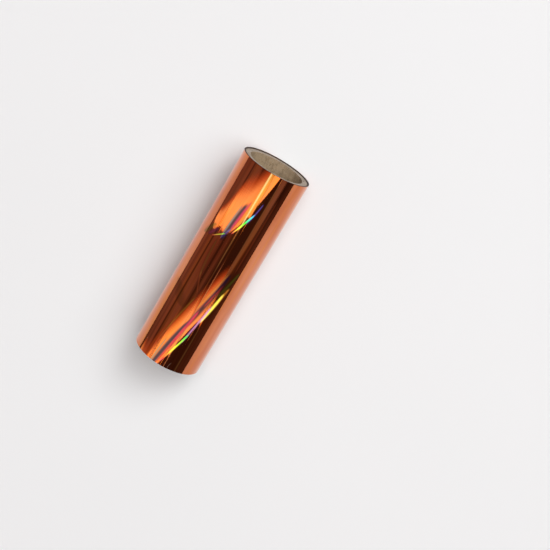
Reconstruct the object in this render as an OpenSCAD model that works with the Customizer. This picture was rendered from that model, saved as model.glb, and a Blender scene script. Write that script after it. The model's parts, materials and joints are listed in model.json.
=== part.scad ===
// Roll of copper-coloured metallised film on a spiral-wound board core.
// The roll lies on its side: +X runs along the core, +Z is up, and the origin is the centre of the bore.
// Angles round the roll are measured from +Z towards +Y.

/* [Core] */
// Inside diameter of the core
bore_d = 25.4; // [18:0.1:80]
// Thickness of one ply of board
ply_t = 0.5; // [0.3:0.05:0.9]

/* [Film] */
// Width of the film, along the roll
film_w = 100; // [40:0.5:320]
// How far the film stands out past each end of the core
film_proud = 0.4; // [0:0.1:5]
// Thickness of the film wound tightly under the outer turn
winding_t = 0.5; // [0.25:0.05:8]
// Thickness of the outer turn and of the tail
lap_t = 0.1; // [0.05:0.01:0.3]
// Running gap between the winding and the outer turn
turn_gap = 0.05; // [0.02:0.01:0.1]

/* [Tail] */
// Length of the free tail, measured round the roll from the fold to its edge
tail_len = 24; // [10:0.5:32]
// Length of the stuck lap behind the fold, measured round the roll
root_len = 7; // [3:0.5:12]
// Angle of the tail's free edge, from the top of the roll towards -Y
edge_deg = 15; // [0:1:30]
// Gap under the tail
tail_gap = 0.05; // [0.02:0.01:0.2]
// Clearance between the stuck lap and the tail's root as the tail turns
fold_gap = 0.05; // [0.02:0.01:0.2]

/* [Starter tape] */
// Width of the tape that holds the film's inner end, measured round the core
tape_w = 12; // [5:0.5:20]
// Thickness of the tape
tape_t = 0.1; // [0.05:0.01:0.2]
// Distance from each end of the core to the end of the tape
tape_inset = 4; // [1:0.5:10]
// Angle of the middle of the tape
tape_deg = 205; // [0:5:355]

/* [Hidden] */

$fn = 96;
cut_past = 1;               // how far a cut runs past the solid it opens
ply_count = 5;

bore_r = bore_d / 2;
core_r = bore_r + ply_count * ply_t;
core_len = film_w - 2 * film_proud;

winding_r = core_r + winding_t;
turn_r_in = winding_r + turn_gap;
turn_r = turn_r_in + lap_t;
tail_r_in = turn_r + tail_gap;
root_r_in = turn_r - lap_t / 2;                  // the stuck lap is one piece with the turn under it
root_wall = tail_r_in + lap_t - root_r_in;       // and as high as the tail

fold_r = tail_r_in + lap_t / 2;                  // the fold runs along the middle of the film
bead_r = 0.45 * lap_t;                           // the fold's round root

tail_sweep = arc_deg(tail_len, tail_r_in);
root_sweep = arc_deg(root_len, tail_r_in);
fold_sweep = arc_deg(lap_t / 2 + fold_gap, tail_r_in);
fold_deg = tail_sweep - edge_deg;                // where the tail's root is
tape_sweep = arc_deg(tape_w, core_r);

board_grey = [0.62, 0.60, 0.54];
board_dark = [0.55, 0.52, 0.45];
film_copper = [0.80, 0.42, 0.28];
tape_white = [0.86, 0.84, 0.76];

// Angle that a length measured round a circle takes up
function arc_deg(arc_len, r) = arc_len / r * 180 / PI;

// Tube along X
module tube(r_in, wall, len) {
    rotate([0, 90, 0])
        difference() {
            cylinder(r = r_in + wall, h = len, center = true);
            cylinder(r = r_in, h = len + 2 * cut_past, center = true);
        }
}

// Stretch of a tube along X, swept from one angle towards +Y
module arc_shell(r_in, wall, len, from_deg, sweep) {
    rotate([0, -90, 0])
        rotate([0, 0, from_deg])
            rotate_extrude(angle = sweep)
                translate([r_in, -len / 2])
                    square([wall, len]);
}

// One ply of the core, counted outwards from the bore
module core_ply(number) {
    color(number % 2 == 1 ? board_grey : board_dark)
        tube(bore_r + (number - 1) * ply_t, ply_t, core_len);
}

// Outline of the tape on the core, which the winding is shaped round
module tape_strip() {
    arc_shell(core_r, tape_t, core_len - 2 * tape_inset, tape_deg - tape_sweep / 2, tape_sweep);
}

// Tape that holds the inner end of the film to the core
module starter_tape() {
    color(tape_white) tape_strip();
}

// All the film wound tightly on the core, down to the tape
module foil_winding() {
    color(film_copper)
        difference() {
            tube(core_r, winding_t, film_w);
            tape_strip();
        }
}

// Last turn of the film, with the stuck lap that its tail leaves from
module foil_outer_turn() {
    color(film_copper)
        union() {
            tube(turn_r_in, lap_t, film_w);
            arc_shell(root_r_in, root_wall, film_w, fold_deg + fold_sweep, root_sweep);
        }
}

// Free end of the film, from its edge to the round root that it turns about
module foil_tail() {
    color(film_copper)
        union() {
            arc_shell(tail_r_in, lap_t, film_w, -edge_deg, tail_sweep);
            translate([0, fold_r * sin(fold_deg), fold_r * cos(fold_deg)])
                rotate([0, 90, 0])
                    cylinder(r = bead_r, h = film_w, center = true, $fn = 24);
        }
}

for (number = [1 : ply_count])
    core_ply(number);
starter_tape();
foil_winding();
foil_outer_turn();
foil_tail();
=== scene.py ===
import json
import math
import random

import bmesh
import bpy
from mathutils import Matrix, Vector, noise


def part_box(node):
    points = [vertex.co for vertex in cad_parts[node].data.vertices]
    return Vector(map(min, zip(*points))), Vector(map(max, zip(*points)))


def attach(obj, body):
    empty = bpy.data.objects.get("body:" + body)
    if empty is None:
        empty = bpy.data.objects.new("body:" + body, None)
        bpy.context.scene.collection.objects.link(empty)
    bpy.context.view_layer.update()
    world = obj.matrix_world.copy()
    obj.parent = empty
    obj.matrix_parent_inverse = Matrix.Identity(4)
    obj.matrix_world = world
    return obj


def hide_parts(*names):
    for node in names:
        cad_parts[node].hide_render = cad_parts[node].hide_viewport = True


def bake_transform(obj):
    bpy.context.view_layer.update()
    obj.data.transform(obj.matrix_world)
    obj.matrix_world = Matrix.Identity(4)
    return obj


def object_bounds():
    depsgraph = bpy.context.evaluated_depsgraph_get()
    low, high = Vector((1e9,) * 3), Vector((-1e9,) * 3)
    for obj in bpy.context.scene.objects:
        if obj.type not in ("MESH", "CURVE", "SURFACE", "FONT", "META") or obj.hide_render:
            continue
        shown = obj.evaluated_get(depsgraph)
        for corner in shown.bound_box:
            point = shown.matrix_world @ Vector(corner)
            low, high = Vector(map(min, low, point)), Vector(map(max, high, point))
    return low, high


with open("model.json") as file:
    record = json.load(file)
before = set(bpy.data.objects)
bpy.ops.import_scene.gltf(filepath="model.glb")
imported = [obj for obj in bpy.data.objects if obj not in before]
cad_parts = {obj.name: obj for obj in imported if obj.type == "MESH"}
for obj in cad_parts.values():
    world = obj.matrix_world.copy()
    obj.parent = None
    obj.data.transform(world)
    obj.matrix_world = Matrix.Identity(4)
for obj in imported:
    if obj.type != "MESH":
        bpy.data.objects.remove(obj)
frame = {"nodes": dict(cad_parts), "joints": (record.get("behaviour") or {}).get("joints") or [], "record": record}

# A roll of copper film lies on a white table with its axis along X.
# Angles round the roll start at the top and grow towards +Y.

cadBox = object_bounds()
mm = 0.001

boreMount = next(m for m in frame["record"]["mounts"] if m["name"] == "core_bore")
liftJoint = next(j for j in frame["joints"] if j["name"] == "tail_lift")
plyNodes = sorted(name for name in frame["nodes"] if name.startswith("core_ply"))

boreR = boreMount["dims"]["r_mm"] * mm
coreR = max(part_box(plyNodes[-1])[1].yz)
plyWall = (coreR - boreR) / len(plyNodes)
windingR = max(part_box("foil_winding")[1].yz)
turnR = -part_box("foil_outer_turn")[0].z
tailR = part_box("foil_tail")[1].z
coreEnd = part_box(plyNodes[0])[1].x
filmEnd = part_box("foil_winding")[1].x
edgeAngle = math.asin(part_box("foil_tail")[0].y / tailR)
foldAngle = math.atan2(liftJoint["pos_m"][1], liftJoint["pos_m"][2])


# Node trees: a value is set on its socket, and a socket is linked to it

def setInputs(tree, node, inputs):
    for key, value in inputs.items():
        if isinstance(value, bpy.types.NodeSocket):
            tree.links.new(value, node.inputs[key])
        else:
            node.inputs[key].default_value = value


def addNode(tree, kind, inputs=None, **settings):
    made = tree.nodes.new(kind)
    for key, value in settings.items():
        setattr(made, key, value)
    setInputs(tree, made, inputs or {})
    return made


def mathNode(tree, operation, a, b=0.0, c=0.0, clamp=False):
    made = addNode(tree, "ShaderNodeMath", {0: a, 1: b, 2: c}, operation=operation, use_clamp=clamp)
    return made.outputs[0]


def mixColours(tree, factor, a, b, blend="MIX"):
    made = addNode(tree, "ShaderNodeMix", {0: factor, 6: a, 7: b}, data_type="RGBA", blend_type=blend)
    return made.outputs[2]


def remap(tree, value, low, high, toLow=0.0, toHigh=1.0, smooth=False):
    made = addNode(tree, "ShaderNodeMapRange", {0: value, 1: low, 2: high, 3: toLow, 4: toHigh},
                   interpolation_type="SMOOTHSTEP" if smooth else "LINEAR")
    return made.outputs[0]


def noiseNode(tree, vector, scale, detail=2.0, rough=0.5, distort=0.0):
    return addNode(tree, "ShaderNodeTexNoise", {"Vector": vector, "Scale": scale, "Detail": detail,
                                                "Roughness": rough, "Distortion": distort}).outputs["Fac"]


def stretched(tree, vector, scale):
    return addNode(tree, "ShaderNodeMapping", {"Vector": vector, "Scale": scale}).outputs[0]


def bumpNode(tree, height, strength, distance):
    made = addNode(tree, "ShaderNodeBump", {"Strength": strength, "Distance": distance, "Height": height})
    return made.outputs[0]


def objectPlace(tree):
    return addNode(tree, "ShaderNodeTexCoord").outputs["Object"]


def newGroup(name, inputs, outputs):
    group = bpy.data.node_groups.new(name, "ShaderNodeTree")
    for label, kind, value in inputs:
        socket = group.interface.new_socket(label, in_out="INPUT", socket_type="NodeSocket" + kind)
        if value is not None:
            socket.default_value = value
    for label, kind in outputs:
        group.interface.new_socket(label, in_out="OUTPUT", socket_type="NodeSocket" + kind)
    return group, addNode(group, "NodeGroupInput").outputs, addNode(group, "NodeGroupOutput").inputs


def placeGroup(tree, group, inputs):
    return addNode(tree, "ShaderNodeGroup", inputs, node_tree=group).outputs


def newMaterial(name):
    material = bpy.data.materials.new(name)
    material.use_nodes = True
    tree = material.node_tree
    return material, tree, tree.nodes["Principled BSDF"]


# Effects that are used more than once

def buildDustGroup():
    group, given, out = newGroup("dustSpecks", [("Vector", "Vector", None), ("Scale", "Float", 700.0),
                                                ("Size", "Float", 0.12), ("Share", "Float", 0.12)],
                                 [("Mask", "Float")])
    cells = addNode(group, "ShaderNodeTexVoronoi", {"Vector": given["Vector"], "Scale": given["Scale"]})
    near = mathNode(group, "LESS_THAN", cells.outputs["Distance"], given["Size"])
    chosen = addNode(group, "ShaderNodeSeparateColor", {0: cells.outputs["Color"]}).outputs[0]
    kept = mathNode(group, "LESS_THAN", chosen, given["Share"])
    group.links.new(mathNode(group, "MULTIPLY", near, kept), out["Mask"])
    return group


def buildPaintedSheenGroup():
    # One spindle-shaped streak of painted reflection, in millimetres across and along the film: a painted rainbow
    # sheen, highlight or dark core in place of the light the film diffracts and mirrors. Its hues lie side by side
    # from its low edge to its high edge, and run on along it
    group, given, out = newGroup("paintedRainbowSheen", [
        ("Across", "Float", 0.0), ("Along", "Float", 0.0), ("From Across", "Float", 0.0),
        ("From Along", "Float", 0.0), ("To Across", "Float", 1.0), ("To Along", "Float", 1.0),
        ("Bend", "Float", 0.0), ("Width", "Float", 1.0), ("Low Hue", "Float", 0.0),
        ("High Hue", "Float", 0.5), ("Hue Run", "Float", 0.0), ("Purity", "Float", 0.9),
        ("Edge Value", "Float", 1.0), ("Core Value", "Float", 1.0), ("Strength", "Float", 1.0),
        ("Crisp", "Float", 0.45),
        ("Under", "Color", (0, 0, 0, 1)), ("Under Mask", "Float", 0.0)],
        [("Color", "Color"), ("Mask", "Float")])
    run = mathNode(group, "SUBTRACT", given["To Along"], given["From Along"])
    share = mathNode(group, "DIVIDE", mathNode(group, "SUBTRACT", given["Along"], given["From Along"]), run)
    share = mathNode(group, "ADD", share, 0.0, clamp=True)
    arch = mathNode(group, "MULTIPLY", mathNode(group, "SUBTRACT", 1.0, share),
                    mathNode(group, "MULTIPLY", share, 4.0))
    drift = mathNode(group, "SUBTRACT", given["To Across"], given["From Across"])
    centre = mathNode(group, "MULTIPLY_ADD", drift, share, given["From Across"])
    centre = mathNode(group, "MULTIPLY_ADD", given["Bend"], arch, centre)
    reach = mathNode(group, "MULTIPLY", given["Width"], mathNode(group, "SQRT", arch))
    reach = mathNode(group, "MAXIMUM", reach, 0.001)
    side = mathNode(group, "DIVIDE", mathNode(group, "SUBTRACT", given["Across"], centre), reach)
    away = mathNode(group, "ABSOLUTE", side)
    inside = remap(group, away, 1.0, given["Crisp"], smooth=True)
    ends = remap(group, arch, 0.0, 0.5, smooth=True)
    sheenMask = mathNode(group, "MULTIPLY", mathNode(group, "MULTIPLY", inside, ends), given["Strength"])
    spread = mathNode(group, "SUBTRACT", given["High Hue"], given["Low Hue"])
    spread = mathNode(group, "MULTIPLY", spread, 0.5)
    middle = mathNode(group, "ADD", given["Low Hue"], spread)
    hue = mathNode(group, "MULTIPLY_ADD", side, spread, middle)
    hue = mathNode(group, "MULTIPLY_ADD", given["Hue Run"], mathNode(group, "SUBTRACT", share, 0.5), hue)
    hue = mathNode(group, "FRACT", mathNode(group, "ADD", hue, 2.0))
    value = remap(group, away, 0.0, 1.0, given["Core Value"], given["Edge Value"])
    colour = addNode(group, "ShaderNodeCombineColor", {0: hue, 1: given["Purity"], 2: value}, mode="HSV")
    group.links.new(mixColours(group, sheenMask, given["Under"], colour.outputs[0]), out["Color"])
    total = mathNode(group, "MULTIPLY", mathNode(group, "SUBTRACT", 1.0, sheenMask),
                     mathNode(group, "SUBTRACT", 1.0, given["Under Mask"]))
    group.links.new(mathNode(group, "SUBTRACT", 1.0, total), out["Mask"])
    return group


def buildCreaseGroup():
    # a fine ridge along the roll, where the edge of a lap underneath shows through
    group, given, out = newGroup("axialCrease", [("Across", "Float", 0.0), ("Place", "Float", 0.0),
                                                 ("Width", "Float", 0.2), ("Height", "Float", 1.0),
                                                 ("Under", "Float", 0.0)], [("Height", "Float")])
    away = mathNode(group, "ABSOLUTE", mathNode(group, "SUBTRACT", given["Across"], given["Place"]))
    ridge = remap(group, mathNode(group, "DIVIDE", away, given["Width"]), 1.0, 0.0, smooth=True)
    group.links.new(mathNode(group, "MULTIPLY_ADD", ridge, given["Height"], given["Under"]), out["Height"])
    return group


dustGroup = buildDustGroup()
paintedSheenGroup = buildPaintedSheenGroup()
creaseGroup = buildCreaseGroup()

# Across is millimetres round the film from the top of the roll, along is millimetres along it
mapUnit = 100 * mm
copperFilm = {
    "deep": (0.60, 0.150, 0.050, 1), "bright": (0.74, 0.245, 0.105, 1), "amber": (0.74, 0.230, 0.028, 1),
    "dust": (0.75, 0.70, 0.62, 1), "specks": {"Scale": 55.0, "Size": 0.035, "Share": 0.03},
    # glow is the strength at which the painted sheen glows by itself: painted light, not a lamp
    "roughness": (0.012, 0.028), "anisotropy": 0.4, "coat": 0.3, "coatRoughness": 0.03, "glow": 0.5,
    "ringHeight": 0.06, "hairHeight": 0.07, "bumpDepth": 0.01 * mm,
    # painted rainbow sheen, painted highlight bands and glows, painted dark cores and painted reflections of the
    # ridges along the roll, all in place of the light the film diffracts and mirrors
    # from (across, along), to (across, along), bend, half width, low hue, high hue, hue run, purity,
    # edge value, core value, strength, crispness
    "paintedSheens": [
        ((-4.2, 62.0), (-2.4, 20.0), 0.0, 2.30, 0.075, 0.09, 0.0, 0.96, 0.80, 0.90, 0.50, 0.0),
        ((-2.75, 64.0), (-2.75, -2.0), 0.0, 1.00, 0.05, 0.05, 0.0, 0.90, 0.35, 0.50, 0.60, 0.0),
        ((-2.85, 66.0), (-2.85, 20.0), 0.0, 0.60, 0.09, 0.09, 0.0, 0.72, 0.85, 0.95, 0.70, 0.0),
        ((-4.35, 12.0), (-4.35, -66.0), 0.0, 0.60, 0.04, 0.04, 0.0, 0.85, 0.40, 0.55, 0.60, 0.0),
        ((-2.9, 8.0), (-2.9, -14.0), 0.0, 0.75, 0.04, 0.04, 0.0, 0.90, 0.20, 0.28, 0.60, 0.0),
        ((-7.95, 60.0), (-7.95, -4.0), 0.0, 0.80, 0.04, 0.04, 0.0, 0.90, 0.26, 0.38, 0.60, 0.0),
        ((-11.2, 44.0), (-11.0, 0.0), 0.0, 1.30, 0.02, 0.02, 0.0, 0.95, 0.22, 0.32, 0.65, 0.0),
        ((-9.70, -22.0), (-9.90, -64.0), 0.0, 0.90, 0.05, 0.05, 0.0, 0.90, 0.20, 0.32, 0.60, 0.0),
        ((-6.5, 37.5), (-4.0, 24.5), -0.25, 0.85, 0.72, 0.66, 0.0, 0.80, 0.25, 0.40, 0.95, 0.0),
        ((-5.6, 31.5), (-0.5, 17.6), -0.15, 0.72, 0.28, 0.28, -0.68, 0.93, 0.8, 0.95, 1.0, 0.2),
        ((-0.6, 34.5), (2.0, 12.5), 0.1, 2.00, 0.84, 0.60, 0.0, 0.60, 0.10, 0.035, 0.97, 0.2),
        ((-1.7, 36.0), (0.4, 19.0), 0.0, 1.10, 1.00, 0.94, 0.0, 0.95, 0.28, 0.36, 0.85, 0.0),
        ((1.0, 33.0), (2.6, 13.5), 0.15, 0.75, 0.62, 0.54, 0.0, 0.45, 0.14, 0.20, 0.75, 0.0),
        ((0.3, 20.5), (2.5, 14.0), 0.0, 0.90, 0.72, 0.65, 0.0, 0.78, 0.16, 0.24, 0.85, 0.0),
        ((1.3, 17.3), (7.0, 12.5), 0.0, 0.95, 0.14, 0.14, -0.36, 0.93, 0.5, 0.7, 0.85, 0.0),
        ((5.2, 17.8), (8.9, 12.0), 0.0, 2.40, 0.92, 0.97, 0.0, 0.88, 0.14, 0.24, 0.70, 0.0),
        ((7.6, 18.6), (12.0, 11.0), 0.0, 2.40, 0.14, 0.18, 0.0, 0.88, 0.08, 0.11, 0.65, 0.0),
        ((-13.4, 5.0), (-9.2, -11.0), -0.2, 1.80, 0.12, 0.20, 0.0, 0.90, 0.06, 0.11, 0.80, 0.0),
        ((-12.8, -3.0), (-9.2, -19.0), -0.2, 1.90, 0.03, 0.08, 0.0, 0.97, 0.30, 0.5, 0.90, 0.0),
        ((-11.7, -6.5), (-8.3, -25.0), -0.2, 1.35, 0.11, 0.17, 0.02, 0.90, 0.7, 0.95, 1.0, 0.1),
        ((-9.8, -13.5), (-5.5, -38.0), -0.1, 1.25, 0.93, 0.82, 0.0, 0.58, 0.40, 0.55, 0.95, 0.0),
        ((-7.3, -30.0), (-1.4, -49.4), -0.1, 0.85, 0.165, 0.165, -0.47, 0.95, 0.75, 0.95, 1.0, 0.1),
        ((-10.1, 4.0), (-3.5, -31.0), -0.2, 2.10, 1.00, 0.70, 0.0, 0.70, 0.08, 0.018, 0.97, 0.2),
        ((-9.6, -3.0), (-6.4, -17.0), 0.0, 0.70, 1.00, 0.98, 0.0, 0.95, 0.16, 0.24, 0.70, 0.0),
        ((-4.6, -23.0), (1.8, -58.0), 0.5, 1.90, 0.84, 0.56, 0.0, 0.62, 0.10, 0.035, 0.97, 0.2),
        ((-5.8, -18.0), (-2.2, -42.0), 0.0, 1.20, 1.00, 0.94, 0.0, 0.95, 0.26, 0.34, 0.88, 0.0),
        ((-4.2, -27.0), (-0.4, -51.0), 0.0, 0.80, 1.01, 0.98, 0.0, 0.95, 0.28, 0.40, 0.85, 0.0),
        ((0.5, -36.0), (2.6, -58.0), 0.2, 0.75, 0.58, 0.42, 0.0, 0.35, 0.14, 0.20, 0.75, 0.0),
        ((-9.2, 4.0), (-4.0, -20.0), 0.0, 1.10, 0.05, 0.07, 0.0, 0.96, 0.40, 0.55, 0.60, 0.0),
        ((-1.8, -12.0), (4.2, -42.0), 0.3, 1.10, 0.07, 0.09, 0.0, 0.93, 0.22, 0.32, 0.65, 0.0),
        ((2.0, -31.0), (5.6, -52.0), 0.2, 1.20, 0.01, 0.02, 0.0, 0.95, 0.20, 0.32, 0.65, 0.0),
        ((2.4, -2.0), (-1.4, -13.5), 0.3, 1.20, 0.02, 0.02, 0.0, 0.95, 0.26, 0.42, 0.60, 0.0),
        ((3.4, 14.0), (1.6, -7.0), 0.6, 1.20, 0.12, 0.01, 0.0, 0.92, 0.20, 0.24, 0.50, 0.0),
        ((11.0, -11.5), (2.0, -22.0), 0.0, 5.00, 0.12, 0.00, 0.0, 0.93, 0.10, 0.13, 0.40, 0.0),
        ((-7.0, -46.2), (-6.6, -52.0), 0.7, 0.13, 0.05, 0.05, 0.0, 0.55, 0.35, 0.4, 0.8, 0.45),
    ],
    # a set of painted sheen marks, in place of the light the film diffracts, that comes again in each stretch of
    # film round the back, written in the same way:
    # where the first stretch starts, how wide each is, how many there are, and how far the set is
    # shifted along the roll, by the sine of the stretch's number times the turn
    "backFrom": 26.0, "backStretch": 11.4, "backCount": 3, "backDrift": 24.0, "backTurn": 2.4,
    "paintedSheenSet": [
        ((-4.0, 24.0), (4.2, -24.0), -0.5, 3.40, 0.05, 0.08, 0.0, 0.90, 0.50, 0.80, 0.50, 0.0),
        ((-4.2, 14.0), (0.6, -12.0), -0.5, 0.70, 0.30, 0.30, -0.80, 0.92, 0.8, 1.0, 0.90, 0.1),
        ((-2.4, 18.0), (3.2, -18.0), -0.5, 1.30, 0.99, 0.60, 0.0, 0.72, 0.25, 0.05, 0.90, 0.1),
        ((-2.6, 20.0), (1.0, -8.0), -0.3, 0.80, 0.99, 0.95, 0.0, 0.92, 0.45, 0.55, 0.75, 0.0),
        ((2.4, 10.0), (4.6, -10.0), -0.3, 0.70, 0.14, 0.14, -0.38, 0.93, 0.6, 0.8, 0.80, 0.1),
    ],
    # across, half width in millimetres, height in hundredths of a millimetre
    "creases": [(-11.9, 0.16, 0.6), (-10.5, 0.14, 0.5), (-7.95, 0.20, 0.7), (-4.3, 0.16, 0.6),
                (-2.75, 0.16, 0.5), (2.4, 0.25, 0.4), (4.4, 0.25, 0.3), (13.5, 0.2, 0.9), (22.6, 0.18, 0.8),
                (30.2, 0.2, 1.0), (38.4, 0.18, 0.7), (46.8, 0.2, 0.9), (-44.2, 0.18, 0.9),
                (-36.1, 0.2, 0.7), (-27.3, 0.18, 1.0), (-19.5, 0.2, 0.6)],
}


def addPaintedSheens(tree, rows, across, along, colour, sheenMask):
    labels = ["Bend", "Width", "Low Hue", "High Hue", "Hue Run", "Purity", "Edge Value", "Core Value",
              "Strength", "Crisp"]
    for start, stop, *look in rows:
        placed = placeGroup(tree, paintedSheenGroup, {
            "Across": across, "Along": along, "From Across": start[0], "From Along": start[1],
            "To Across": stop[0], "To Along": stop[1], "Under": colour, "Under Mask": sheenMask,
            **dict(zip(labels, look))})
        colour, sheenMask = placed["Color"], placed["Mask"]
    return colour, sheenMask


def backStretches(tree, across, along):
    # places on the back of the roll, counted afresh in each stretch and shifted along from one to the next.
    # Past the last stretch they are pushed far along the film, where no streak reaches.
    low = copperFilm["backFrom"]
    stretch = copperFilm["backStretch"]
    outOfReach = 1000.0
    past = mathNode(tree, "WRAP", across, low + math.tau * turnR / mm, low)
    number = mathNode(tree, "DIVIDE", mathNode(tree, "SUBTRACT", past, low), stretch)
    number = mathNode(tree, "FLOOR", number)
    middle = mathNode(tree, "MULTIPLY_ADD", mathNode(tree, "ADD", number, 0.5), stretch, low)
    swing = mathNode(tree, "SINE", mathNode(tree, "MULTIPLY", number, copperFilm["backTurn"]))
    drift = mathNode(tree, "MULTIPLY", swing, copperFilm["backDrift"])
    front = mathNode(tree, "GREATER_THAN", number, copperFilm["backCount"] - 0.5)
    shifted = mathNode(tree, "MULTIPLY_ADD", front, outOfReach, mathNode(tree, "ADD", along, drift))
    return mathNode(tree, "SUBTRACT", past, middle), shifted


def buildFilmMaterial():
    material, tree, shader = newMaterial("copperFilm")
    uv = addNode(tree, "ShaderNodeUVMap", uv_map="filmMap").outputs[0]
    split = addNode(tree, "ShaderNodeSeparateXYZ", {0: uv}).outputs
    across = mathNode(tree, "MULTIPLY", split[0], mapUnit / mm)
    along = mathNode(tree, "MULTIPLY", split[1], mapUnit / mm)

    slow = noiseNode(tree, stretched(tree, uv, (14, 2.2, 1)), 1.0, 3.0)
    colour = mixColours(tree, remap(tree, slow, 0.35, 0.65), copperFilm["deep"], copperFilm["bright"])
    drawn = noiseNode(tree, stretched(tree, uv, (26, 1.4, 1)), 1.0, 2.0)
    drawn = remap(tree, drawn, 0.48, 0.66, 0.0, 0.5, smooth=True)
    colour = mixColours(tree, drawn, colour, copperFilm["amber"])

    # painted rainbow sheen, highlights and dark cores laid over the film's colour, in place of the light it
    # diffracts and mirrors
    paintedSheen, sheenMask = addPaintedSheens(tree, copperFilm["paintedSheens"], across, along, (0, 0, 0, 1), 0.0)
    paintedSheen, sheenMask = addPaintedSheens(tree, copperFilm["paintedSheenSet"], *backStretches(tree, across, along), paintedSheen, sheenMask)

    specks = placeGroup(tree, dustGroup, {"Vector": uv, **copperFilm["specks"]})["Mask"]
    base = mixColours(tree, sheenMask, colour, paintedSheen)
    base = mixColours(tree, specks, base, copperFilm["dust"])
    # only the bright painted sheen loses the film's mirror look, so it shows as a painted highlight under any
    # light
    bright = addNode(tree, "ShaderNodeSeparateColor", {0: paintedSheen}, mode="HSV").outputs[2]
    lost = mathNode(tree, "MULTIPLY", sheenMask, remap(tree, bright, 0.15, 0.6, 0.0, 0.8, smooth=True))
    metal = mathNode(tree, "SUBTRACT", mathNode(tree, "SUBTRACT", 1.0, lost), specks, clamp=True)

    # fine rings round the roll, hairlines along it, and the creases over the laps underneath
    rings = noiseNode(tree, stretched(tree, uv, (1.5, 110, 1)), 1.0, 1.0)
    hairs = noiseNode(tree, stretched(tree, uv, (170, 1.0, 1)), 1.0, 1.0)
    height = mathNode(tree, "ADD", mathNode(tree, "MULTIPLY", rings, copperFilm["ringHeight"]),
                      mathNode(tree, "MULTIPLY", hairs, copperFilm["hairHeight"]))
    for place, width, rise in copperFilm["creases"]:
        height = placeGroup(tree, creaseGroup, {"Across": across, "Place": place, "Width": width,
                                                "Height": rise, "Under": height})["Height"]
    tangent = addNode(tree, "ShaderNodeTangent", direction_type="RADIAL", axis="X").outputs[0]
    setInputs(tree, shader, {
        "Base Color": base, "Metallic": metal,
        "Roughness": remap(tree, slow, 0.3, 0.7, *copperFilm["roughness"]),
        "Normal": bumpNode(tree, height, 1.0, copperFilm["bumpDepth"]),
        "Anisotropic": copperFilm["anisotropy"], "Tangent": tangent,
        "Coat Weight": copperFilm["coat"], "Coat Roughness": copperFilm["coatRoughness"],
        # the painted sheen also glows by itself: painted light
        "Emission Color": mixColours(tree, sheenMask, (0, 0, 0, 1), paintedSheen),
        "Emission Strength": copperFilm["glow"]})
    return material


filmEdges = {
    "dark": (0.016, 0.009, 0.006, 1), "pale": (0.075, 0.036, 0.022, 1), "stain": (0.11, 0.06, 0.035, 1),
    "lap": 0.02 * mm, "metallic": 0.25, "roughness": (0.38, 0.55), "bumpDepth": 0.03 * mm,
}


def buildEdgeMaterial():
    # the cut edges of the film, lap on lap
    material, tree, shader = newMaterial("filmEdges")
    place = objectPlace(tree)
    split = addNode(tree, "ShaderNodeSeparateXYZ", {0: place}).outputs
    radius = mathNode(tree, "SQRT", mathNode(tree, "ADD", mathNode(tree, "POWER", split[1], 2.0),
                                             mathNode(tree, "POWER", split[2], 2.0)))
    lapNo = mathNode(tree, "MULTIPLY", radius, 1.0 / filmEdges["lap"])
    laps = addNode(tree, "ShaderNodeTexNoise", {"W": lapNo, "Scale": 1.0, "Detail": 1.0},
                   noise_dimensions="1D").outputs["Fac"]
    stain = noiseNode(tree, stretched(tree, place, (400, 400, 400)), 1.0, 3.0)
    colour = mixColours(tree, remap(tree, laps, 0.35, 0.65), filmEdges["dark"], filmEdges["pale"])
    colour = mixColours(tree, remap(tree, stain, 0.55, 0.75), colour, filmEdges["stain"])
    setInputs(tree, shader, {
        "Base Color": colour, "Metallic": filmEdges["metallic"],
        "Roughness": remap(tree, stain, 0.3, 0.7, *filmEdges["roughness"]),
        "Normal": bumpNode(tree, laps, 0.4, filmEdges["bumpDepth"])})
    return material


greyBoard = {
    "pale": (0.410, 0.355, 0.295, 1), "dull": (0.190, 0.155, 0.120, 1), "fleck": (0.06, 0.045, 0.03, 1),
    "fibre": (0.64, 0.59, 0.50, 1), "stain": (0.30, 0.20, 0.12, 1),
    # the bore's tint is darker and browner than the end faces': painted shade inside the bore
    "faceTint": (0.86, 0.83, 0.82, 1), "boreShadeTint": (0.80, 0.69, 0.54, 1),
    "fleckSpecks": {"Scale": 1500.0, "Size": 0.30, "Share": 0.10},
    "fibreSpecks": {"Scale": 1900.0, "Size": 0.26, "Share": 0.10},
    "roughness": (0.78, 0.95), "shine": 0.25, "bumpDepth": 0.08 * mm,
}


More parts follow.
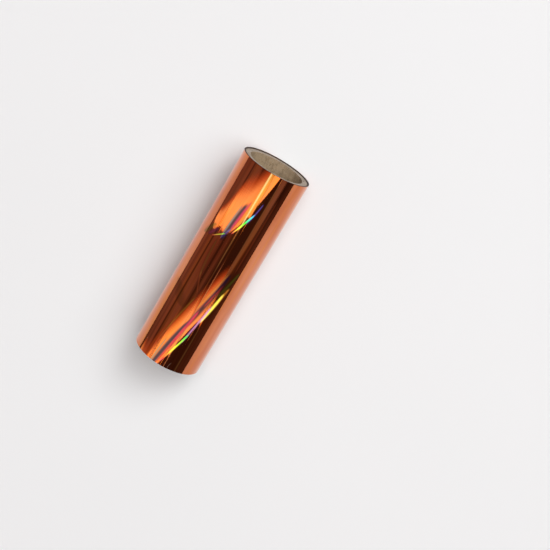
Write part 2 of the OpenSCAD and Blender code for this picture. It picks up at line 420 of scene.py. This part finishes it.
def buildBoardMaterial(name, tint):
    material, tree, shader = newMaterial(name)
    place = objectPlace(tree)
    cloud = noiseNode(tree, place, 320.0, 4.0, 0.65)
    fibres = noiseNode(tree, stretched(tree, place, (700, 2600, 2600)), 1.0, 4.0, 0.7, 0.6)
    flecks = placeGroup(tree, dustGroup, {"Vector": place, **greyBoard["fleckSpecks"]})["Mask"]
    hairs = placeGroup(tree, dustGroup, {"Vector": stretched(tree, place, (0.45, 1, 1)),
                                         **greyBoard["fibreSpecks"]})["Mask"]
    colour = mixColours(tree, remap(tree, cloud, 0.3, 0.7), greyBoard["dull"], greyBoard["pale"])
    blotch = noiseNode(tree, stretched(tree, place, (1, 1.6, 1.6)), 800.0, 3.0, 0.6, 1.2)
    blotch = remap(tree, blotch, 0.52, 0.68, 0.0, 0.6, smooth=True)
    colour = mixColours(tree, blotch, colour, greyBoard["stain"])
    colour = mixColours(tree, remap(tree, fibres, 0.35, 0.75, 0.0, 0.55), colour, greyBoard["fibre"])
    colour = mixColours(tree, mathNode(tree, "MULTIPLY", flecks, 0.6), colour, greyBoard["fleck"])
    colour = mixColours(tree, mathNode(tree, "MULTIPLY", hairs, 0.5), colour, greyBoard["fibre"])
    colour = mixColours(tree, 1.0, colour, tint, "MULTIPLY")
    height = mathNode(tree, "ADD", fibres, mathNode(tree, "MULTIPLY", cloud, 0.6))
    setInputs(tree, shader, {
        "Base Color": colour, "Roughness": remap(tree, cloud, 0.3, 0.7, *greyBoard["roughness"]),
        "Normal": bumpNode(tree, height, 0.6, greyBoard["bumpDepth"]),
        "Specular IOR Level": greyBoard["shine"]})
    return material


paperTape = {"dull": (0.62, 0.56, 0.42, 1), "pale": (0.78, 0.73, 0.60, 1), "roughness": (0.7, 0.85),
             "bumpDepth": 0.05 * mm}


def buildTapeMaterial():
    material, tree, shader = newMaterial("paperTape")
    crepe = noiseNode(tree, stretched(tree, objectPlace(tree), (300, 2400, 2400)), 1.0, 3.0, 0.6)
    colour = mixColours(tree, remap(tree, crepe, 0.3, 0.7), paperTape["dull"], paperTape["pale"])
    setInputs(tree, shader, {
        "Base Color": colour, "Roughness": remap(tree, crepe, 0.3, 0.7, *paperTape["roughness"]),
        "Normal": bumpNode(tree, crepe, 0.5, paperTape["bumpDepth"])})
    return material


filmMaterial = buildFilmMaterial()
edgeMaterial = buildEdgeMaterial()
boardMaterial = buildBoardMaterial("greyBoard", greyBoard["faceTint"])
# the bore gets a darker, browner copy of the board: painted shade
boreShadeMaterial = buildBoardMaterial("greyBoardBoreShade", greyBoard["boreShadeTint"])
tapeMaterial = buildTapeMaterial()
print("materials done")


# Meshes

# how near points are joined, how near a cut counts as on a point, and how near a face counts as at an end
mergeDist = 0.0005 * mm
cutDist = 0.0001 * mm
endDist = 0.001 * mm


def addObject(name, data):
    made = bpy.data.objects.new(name, data)
    bpy.context.scene.collection.objects.link(made)
    return made


def meshFrom(name, bm):
    mesh = bpy.data.meshes.new(name)
    bm.to_mesh(mesh)
    bm.free()
    return mesh


def makePiece(name, bm, materials, body, nodes, sharpDeg=35):
    bmesh.ops.remove_doubles(bm, verts=bm.verts, dist=mergeDist)
    bmesh.ops.recalc_face_normals(bm, faces=bm.faces)
    mesh = meshFrom(name, bm)
    mesh.shade_smooth()
    mesh.set_sharp_from_angle(angle=math.radians(sharpDeg))
    for material in materials:
        mesh.materials.append(material)
    piece = addObject(name, mesh)
    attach(piece, body)
    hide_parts(*nodes)
    return piece


def polar(co):
    return math.hypot(co.y, co.z), math.atan2(co.y, co.z)


def facesEnd(face):
    return abs(face.normal.x) > 0.7


def setRadius(vert, radius):
    grow = radius / math.hypot(vert.co.y, vert.co.z)
    vert.co.y *= grow
    vert.co.z *= grow


def addSection(bm, corners, cuts, startAngle):
    # corners are (x, radius) round the section, and cuts says how finely each side is cut
    verts = [bm.verts.new((x, 0, r)) for x, r in corners]
    sides = [bm.edges.new((verts[i], verts[(i + 1) % len(verts)])) for i in range(len(verts))]
    for side, count in zip(sides, cuts):
        if count:
            bmesh.ops.subdivide_edges(bm, edges=[side], cuts=count)
    bmesh.ops.rotate(bm, verts=bm.verts, cent=(0, 0, 0), matrix=Matrix.Rotation(-startAngle, 3, "X"))


def spinSection(bm, corners, cuts, angle, steps, startAngle, full):
    addSection(bm, corners, cuts, startAngle)
    if not full:
        bmesh.ops.contextual_create(bm, geom=bm.edges[:])
    swept = bmesh.ops.spin(bm, geom=bm.verts[:] + bm.edges[:], cent=(0, 0, 0), axis=(-1, 0, 0),
                           angle=angle, steps=steps, use_merge=full)
    if not full:
        last = [e for e in swept["geom_last"] if isinstance(e, bmesh.types.BMEdge)]
        bmesh.ops.contextual_create(bm, geom=last)


def mapFilm(mesh, radius):
    # unrolls the film into one map
    layer = mesh.uv_layers.new(name="filmMap")
    for face in mesh.polygons:
        middle = math.atan2(face.center.y, face.center.z)
        for corner in face.loop_indices:
            co = mesh.vertices[mesh.loops[corner].vertex_index].co
            angle = math.atan2(co.y, co.z)
            angle += math.tau * round((middle - angle) / math.tau)
            layer.data[corner].uv = (angle * radius / mapUnit, co.x / mapUnit)


outerTurn = {
    "steps": 720, "lengthCuts": 40, "wall": 0.05 * mm, "sink": 0.012 * mm,
    # angle in degrees, width and height in millimetres, of the ridge over the edge of a lap underneath
    "ridges": [(-43, 0.5, 0.006), (-38, 0.35, 0.008), (-29, 0.5, 0.012), (-13.6, 0.3, 0.008),
               (-8, 0.4, 0.010), (8.5, 0.5, 0.005), (16, 0.5, 0.005), (48, 0.5, 0.008), (95, 0.5, 0.010),
               (140, 0.6, 0.009), (188, 0.5, 0.010), (232, 0.5, 0.008), (275, 0.6, 0.009)],
    # how many widths a ridge reaches, the share of its height that it has on average, and how much that
    # share changes along the roll
    "ridgeReach": 3, "ridgeShare": 0.6, "ridgeChange": 0.5,
    # height in millimetres, waves to the millimetre round the roll and along it, and the noise's layer
    "waves": [(0.0030, 0.45, 0.012, 3.1), (0.0009, 1.4, 0.02, 8.4)],
}


def filmHeight(angle, x):
    # how far the film stands off a true cylinder, in metres
    arc = angle * turnR / mm
    total = 0.0
    for height, around, along, layer in outerTurn["waves"]:
        total += height * noise.noise(Vector((arc * around, x / mm * along, layer)))
    for degrees, width, height in outerTurn["ridges"]:
        away = (math.degrees(angle) - degrees + 180) % 360 - 180
        away = math.radians(away) * turnR / mm
        if abs(away) < outerTurn["ridgeReach"] * width:
            place = Vector((x / mm * 0.03, degrees, 0.7))
            share = outerTurn["ridgeShare"] + outerTurn["ridgeChange"] * noise.noise(place)
            total += height * share * math.exp(-(away / width) ** 2)
    return total * mm


def buildOuterTurn():
    bm = bmesh.new()
    inner = turnR - outerTurn["wall"]
    spinSection(bm, [(-filmEnd, inner), (-filmEnd, turnR), (filmEnd, turnR), (filmEnd, inner)],
                [0, outerTurn["lengthCuts"], 0, 0], math.tau, outerTurn["steps"], math.pi, True)
    for vert in bm.verts:
        radius, angle = polar(vert.co)
        if radius > turnR - outerTurn["wall"] / 2:
            setRadius(vert, radius + filmHeight(angle, vert.co.x) - outerTurn["sink"])
    for face in bm.faces:
        face.material_index = 1 if facesEnd(face) else 0
    piece = makePiece("filmOuterTurn", bm, [filmMaterial, edgeMaterial], "outer_turn",
                      ["foil_outer_turn"])
    mapFilm(piece.data, turnR)


buildOuterTurn()
print("outer turn done")

tailFilm = {
    "steps": 330, "lengthCuts": 40, "wall": 0.04 * mm, "lift": 0.04 * mm, "rootDeg": 25, "sink": 0.076 * mm,
    "bend": 8 * mm, "curl": 0.055 * mm, "curlLength": 0.7 * mm, "curlShare": 0.75, "curlChange": 0.5,
    "waviness": 0.8,
}


def buildTail():
    # the leaf from its free edge to behind the fold, where it sinks into the turn below
    bm = bmesh.new()
    start = edgeAngle
    stop = foldAngle + math.radians(tailFilm["rootDeg"])
    outer = turnR + tailFilm["lift"] + tailFilm["wall"]
    inner = outer - tailFilm["wall"]
    spinSection(bm, [(-filmEnd, inner), (-filmEnd, outer), (filmEnd, outer), (filmEnd, inner)],
                [0, tailFilm["lengthCuts"], 0, tailFilm["lengthCuts"]], stop - start,
                tailFilm["steps"], start, False)
    for vert in bm.verts:
        radius, angle = polar(vert.co)
        height = filmHeight(angle, vert.co.x) * tailFilm["waviness"]
        fromEdge = max(0.0, 1 - (angle - start) * radius / tailFilm["curlLength"])
        place = Vector((vert.co.x / mm * 0.05, 0, 0))
        share = tailFilm["curlShare"] + tailFilm["curlChange"] * noise.noise(place)
        height += tailFilm["curl"] * fromEdge ** 2 * share
        down = max(0.0, (angle - foldAngle) / (stop - foldAngle))
        height -= down * down * (3 - 2 * down) * tailFilm["sink"]
        setRadius(vert, radius + height)
    for face in bm.faces:
        atEnd = abs(face.calc_center_median().x) > filmEnd - endDist
        face.material_index = 1 if atEnd and facesEnd(face) else 0
    piece = makePiece("filmTail", bm, [filmMaterial, edgeMaterial], "outer_turn",
                      ["foil_tail"])
    mapFilm(piece.data, turnR)
    root = Vector((0, math.sin(foldAngle), math.cos(foldAngle))) * tailR
    bend = foldAngle - tailFilm["bend"] / tailR
    tip = Vector((0, math.sin(bend), math.cos(bend))) * tailR
    return piece, root, tip


tail, tailRoot, tailBend = buildTail()
tail.parent = None  # the leaf is taken off its body and left where it stands
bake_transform(tail)
print("tail done")

wound = {"steps": 360, "laps": 25, "slip": 0.035 * mm, "wander": 0.02 * mm, "setBack": 0.03 * mm}


def buildWinding():
    # the film under the outer turn shows only its edges, each lap a little in or out of line
    bm = bmesh.new()
    spinSection(bm, [(-filmEnd, coreR), (-filmEnd, windingR), (filmEnd, windingR), (filmEnd, coreR)],
                [wound["laps"], 0, wound["laps"], 0], math.tau, wound["steps"], math.pi, True)
    rng = random.Random(5)
    slips = [rng.uniform(-1, 1) * wound["slip"] for _ in range(2 * (wound["laps"] + 2))]
    for vert in bm.verts:
        radius, angle = polar(vert.co)
        lap = round((radius - coreR) / (windingR - coreR) * (wound["laps"] + 1))
        side = 1 if vert.co.x > 0 else -1
        slip = slips[lap + (wound["laps"] + 2 if side > 0 else 0)]
        place = Vector((math.cos(angle) * 2, math.sin(angle) * 2, lap * 0.4 + side))
        vert.co.x += side * (slip + wound["wander"] * noise.noise(place) - wound["setBack"])
    makePiece("filmWinding", bm, [edgeMaterial], "roll", ["foil_winding"])


buildWinding()
print("winding done")

boardCore = {
    "pitch": 63 * mm, "seam": 0.35 * mm, "stepsPerTurn": 96, "widthCuts": 9, "wallCuts": 1, "sharpDeg": 50,
    # where each ply's seam starts, from the bore outwards
    "seamDeg": [200, 20, 265, 95, 330],
}


def buildPly(index):
    # a strip of board wound in a spiral with its edges nearly meeting, then cut square at both ends
    bm = bmesh.new()
    rIn = boreR + index * plyWall
    rOut = rIn + plyWall
    # the strip starts before the core's left end and stops past its right end
    left = -coreEnd - 1.05 * boardCore["pitch"]
    right = left + boardCore["pitch"] - boardCore["seam"]
    turns = math.ceil(2 * coreEnd / boardCore["pitch"] + 1.2)
    addSection(bm, [(left, rIn), (left, rOut), (right, rOut), (right, rIn)],
               [boardCore["wallCuts"], boardCore["widthCuts"]] * 2, math.radians(boardCore["seamDeg"][index]))
    bmesh.ops.spin(bm, geom=bm.verts[:] + bm.edges[:], cent=(0, 0, 0), axis=(-1, 0, 0),
                   dvec=(boardCore["pitch"] / boardCore["stepsPerTurn"], 0, 0), angle=math.tau * turns,
                   steps=boardCore["stepsPerTurn"] * turns)
    bmesh.ops.remove_doubles(bm, verts=bm.verts, dist=mergeDist)
    for x, way in ((-coreEnd, -1), (coreEnd, 1)):
        cut = bmesh.ops.bisect_plane(bm, geom=bm.verts[:] + bm.edges[:] + bm.faces[:], dist=cutDist,
                                     plane_co=(x, 0, 0), plane_no=(way, 0, 0), clear_outer=True)
        rim = [e for e in cut["geom_cut"] if isinstance(e, bmesh.types.BMEdge)]
        bmesh.ops.holes_fill(bm, edges=rim, sides=0)
    return bm


def buildPlies():
    for index, node in enumerate(plyNodes):
        bm = buildPly(index)
        for face in bm.faces:
            radius = math.hypot(*face.calc_center_median().yz)
            inBore = index == 0 and radius < boreR + 0.1 * plyWall and not facesEnd(face)
            # the bore wall takes the darker copy of the board, painted shade
            face.material_index = 1 if inBore else 0
        makePiece("boardPly%d" % (index + 1), bm, [boardMaterial, boreShadeMaterial], "roll",
                  [node], boardCore["sharpDeg"])


buildPlies()
tapeSlots = frame["nodes"]["starter_tape"].data.materials
tapeSlots.clear()
tapeSlots.append(tapeMaterial)
print("core done")


# Table, light and camera

studio = {
    "tableR": 6.0, "tableColour": (0.852, 0.880, 0.894, 1), "tableCloud": (0.877, 0.905, 0.919, 1),
    "tableRoughness": 0.6, "tableShine": 0.2,
    "roomLow": (0.085, 0.056, 0.048, 1), "roomHigh": (0.165, 0.108, 0.095, 1),
    "roomCloud": 1.6, "cloudDim": (0.45, 0.38, 0.36, 1), "cloudLit": (1.5, 1.42, 1.38, 1),
    "sun": 2.72, "sunWay": (0.55, -0.45, 1.0), "sunSoftDeg": 60,
    "lamp": 11.0, "lampPlace": (1.3, -0.55, 1.25), "lampSize": 0.7,
    "cardHeight": 1.0, "fringe": (1.0, 0.32, 0.10, 1),
}

warm = (1.0, 0.80, 0.42, 1)
pale = (1.0, 0.95, 0.88, 1)

# strips of light over the table that only the film mirrors: ends on the table plan, bow, width, colour,
# strength, soft share of the low side, of the high side and of the ends
cards = {
    "cardNear": ((-0.215, -1.06), (-0.484, 1.55), 0.113, 0.105, warm, 2.1, 0.06, 0.65, 0.02),
    "cardNearEnd": ((-0.412, 1.3), (-2.15, 7.5), 0.0, 0.105, warm, 1.6, 0.06, 0.7, 0.08),
    "cardFar": ((-0.75, -1.7), (-0.94, 1.5), 0.43, 0.120, warm, 2.1, 0.06, 0.65, 0.12),
    "cardGlow": ((-0.60, 0.55), (-3.32, 7.3), 0.05, 0.34, warm, 1.25, 0.1, 0.35, 0.06),
    "cardShelf": ((-0.42, -1.85), (-0.42, -1.02), 0.0, 0.46, (1.0, 0.78, 0.70, 1), 0.26, 0.3, 0.05, 0.08),
    "windowEast": ((0.15, -1.6), (0.15, 1.8), 0.3, 0.16, pale, 2.2, 0.3, 0.3, 0.1),
    "windowFar": ((0.7, -1.2), (1.0, 1.2), -0.2, 0.30, warm, 1.7, 0.2, 0.5, 0.1),
    "windowWest": ((-1.5, -1.6), (-1.4, 0.8), 0.2, 0.32, pale, 1.8, 0.3, 0.4, 0.1),
}


def emissive(name, colour, strength, softLow, softHigh, softEnds):
    material = bpy.data.materials.new(name)
    material.use_nodes = True
    tree = material.node_tree
    tree.nodes.clear()
    split = addNode(tree, "ShaderNodeSeparateXYZ", {0: addNode(tree, "ShaderNodeUVMap").outputs[0]}).outputs
    low = remap(tree, split[0], 0.0, softLow, smooth=True)
    high = remap(tree, split[0], 1.0, 1.0 - softHigh, smooth=True)
    ends = mathNode(tree, "MULTIPLY", remap(tree, split[1], 0.0, softEnds, smooth=True),
                    remap(tree, split[1], 1.0, 1.0 - softEnds, smooth=True))
    soft = mathNode(tree, "MULTIPLY", mathNode(tree, "MULTIPLY", low, high), ends)
    tint = mixColours(tree, remap(tree, soft, 0.1, 0.8, smooth=True), studio["fringe"], colour)
    glow = addNode(tree, "ShaderNodeEmission", {"Color": tint, "Strength": strength}).outputs[0]
    clear = addNode(tree, "ShaderNodeBsdfTransparent").outputs[0]
    mixed = addNode(tree, "ShaderNodeMixShader", {0: soft, 1: clear, 2: glow}).outputs[0]
    addNode(tree, "ShaderNodeOutputMaterial", {0: mixed})
    material.cycles.emission_sampling = "NONE"  # it is only mirrored, so it needs no light sampling
    return material


def addCard(name, start, stop, bow, width, colour, strength, softLow, softHigh, softEnds):
    bm = bmesh.new()
    bm.loops.layers.uv.new("UVMap")
    bmesh.ops.create_grid(bm, x_segments=1, y_segments=32, size=0.5, calc_uvs=True)
    start = Vector((*start, studio["cardHeight"]))
    stop = Vector((*stop, studio["cardHeight"]))
    side = (stop - start).cross(Vector((0, 0, 1))).normalized()
    for vert in bm.verts:
        across, share = vert.co.x, vert.co.y
        vert.co = start.lerp(stop, share + 0.5) + side * (bow * (1 - 4 * share * share) + across * width)
    mesh = meshFrom(name, bm)
    mesh.materials.append(emissive(name, colour, strength, softLow, softHigh, softEnds))
    card = addObject(name, mesh)
    card.visible_camera = False
    card.visible_diffuse = False
    card.visible_shadow = False


def buildTable():
    bm = bmesh.new()
    bmesh.ops.create_circle(bm, cap_ends=True, segments=96, radius=studio["tableR"])
    bmesh.ops.translate(bm, verts=bm.verts, vec=(0, 0, cadBox[0].z))
    mesh = meshFrom("table", bm)
    material, tree, shader = newMaterial("tableWhite")
    cloud = noiseNode(tree, objectPlace(tree), 6.0, 2.0)
    colour = mixColours(tree, cloud, studio["tableColour"], studio["tableCloud"])
    setInputs(tree, shader, {"Base Color": colour, "Roughness": studio["tableRoughness"],
                             "Specular IOR Level": studio["tableShine"]})
    mesh.materials.append(material)
    table = addObject("table", mesh)


def buildLights():
    world = bpy.data.worlds.new("room")
    bpy.context.scene.world = world
    world.use_nodes = True
    tree = world.node_tree
    look = addNode(tree, "ShaderNodeTexCoord").outputs["Generated"]
    ahead = addNode(tree, "ShaderNodeSeparateXYZ", {0: look}).outputs[1]
    ahead = remap(tree, ahead, -0.5, 0.7, smooth=True)
    colour = mixColours(tree, ahead, studio["roomLow"], studio["roomHigh"])
    cloud = noiseNode(tree, look, studio["roomCloud"], 3.0, 0.6, 1.0)
    cloud = remap(tree, cloud, 0.35, 0.65, smooth=True)
    shade = mixColours(tree, cloud, studio["cloudDim"], studio["cloudLit"])
    colour = mixColours(tree, 1.0, colour, shade, "MULTIPLY")
    tree.links.new(colour, tree.nodes["Background"].inputs["Color"])

    sun = addObject("daylight", bpy.data.lights.new("daylight", "SUN"))
    sun.data.energy = studio["sun"]
    sun.data.angle = math.radians(studio["sunSoftDeg"])
    sun.rotation_euler = Vector(studio["sunWay"]).to_track_quat("Z", "Y").to_euler()
    lamp = addObject("softbox", bpy.data.lights.new("softbox", "AREA"))
    lamp.data.energy = studio["lamp"]
    lamp.data.size = studio["lampSize"]
    lamp.location = studio["lampPlace"]
    lamp.rotation_euler = Vector(studio["lampPlace"]).to_track_quat("Z", "Y").to_euler()
    sun.visible_glossy = False
    lamp.visible_glossy = False


buildTable()
buildLights()
for name, settings in cards.items():
    addCard(name, *settings)

lens = {
    "distance": 0.54251, "azimuthDeg": -31.389, "elevationDeg": 68.664, "aim": (0.0091, -0.0235, 0),
    "turnDeg": 121.07, "focalMm": 80.6, "sensorMm": 36,
}


def buildCamera():
    camera = addObject("camera", bpy.data.cameras.new("camera"))
    azimuth = math.radians(lens["azimuthDeg"])
    elevation = math.radians(lens["elevationDeg"])
    place = Vector((math.cos(elevation) * math.cos(azimuth), math.cos(elevation) * math.sin(azimuth),
                    math.sin(elevation))) * lens["distance"]
    look = (Vector(lens["aim"]) - place).to_track_quat("-Z", "Y").to_matrix()
    turn = Matrix.Rotation(math.radians(-lens["turnDeg"]), 3, "Z")
    camera.matrix_world = Matrix.Translation(place) @ (look @ turn).to_4x4()
    camera.data.lens = lens["focalMm"]
    camera.data.sensor_width = lens["sensorMm"]
    bpy.context.scene.camera = camera


buildCamera()
bpy.context.scene.view_settings.view_transform = "Standard"
print("stage done")
